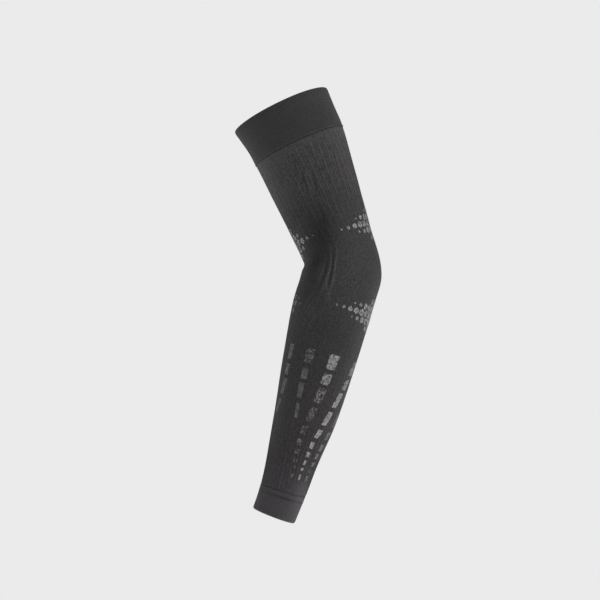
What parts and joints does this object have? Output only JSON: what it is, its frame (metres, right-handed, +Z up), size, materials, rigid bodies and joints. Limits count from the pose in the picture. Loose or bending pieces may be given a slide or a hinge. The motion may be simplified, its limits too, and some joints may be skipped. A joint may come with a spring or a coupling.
{
  "type": "arm sleeve",
  "caption": "Ribbed knit compression sleeve in the bent form it has on an arm, open at both ends, with a turned welt round the upper arm and another round the wrist.",
  "frame": {"origin": "middle of the arm at the elbow, on the sleeve's axis", "axes": "+Z up along the arm towards the shoulder, +X towards the point of the elbow, -X towards the crook, Y across the plane in which the arm bends"},
  "size_m": [0.1469, 0.0934, 0.4347],
  "materials": {
    "rib_knit": "charcoal ribbed elastic knit with a soft matt sheen",
    "welt_knit": "charcoal fine plain knit, doubled and turned at the rim",
    "print_film": "thin silver-grey printed film on the knit"
  },
  "bodies": {
    "root": {"upper_welt": "welt_knit", "ribbed_tube": "rib_knit", "wrist_welt": "welt_knit"}
  },
  "joints": []
}
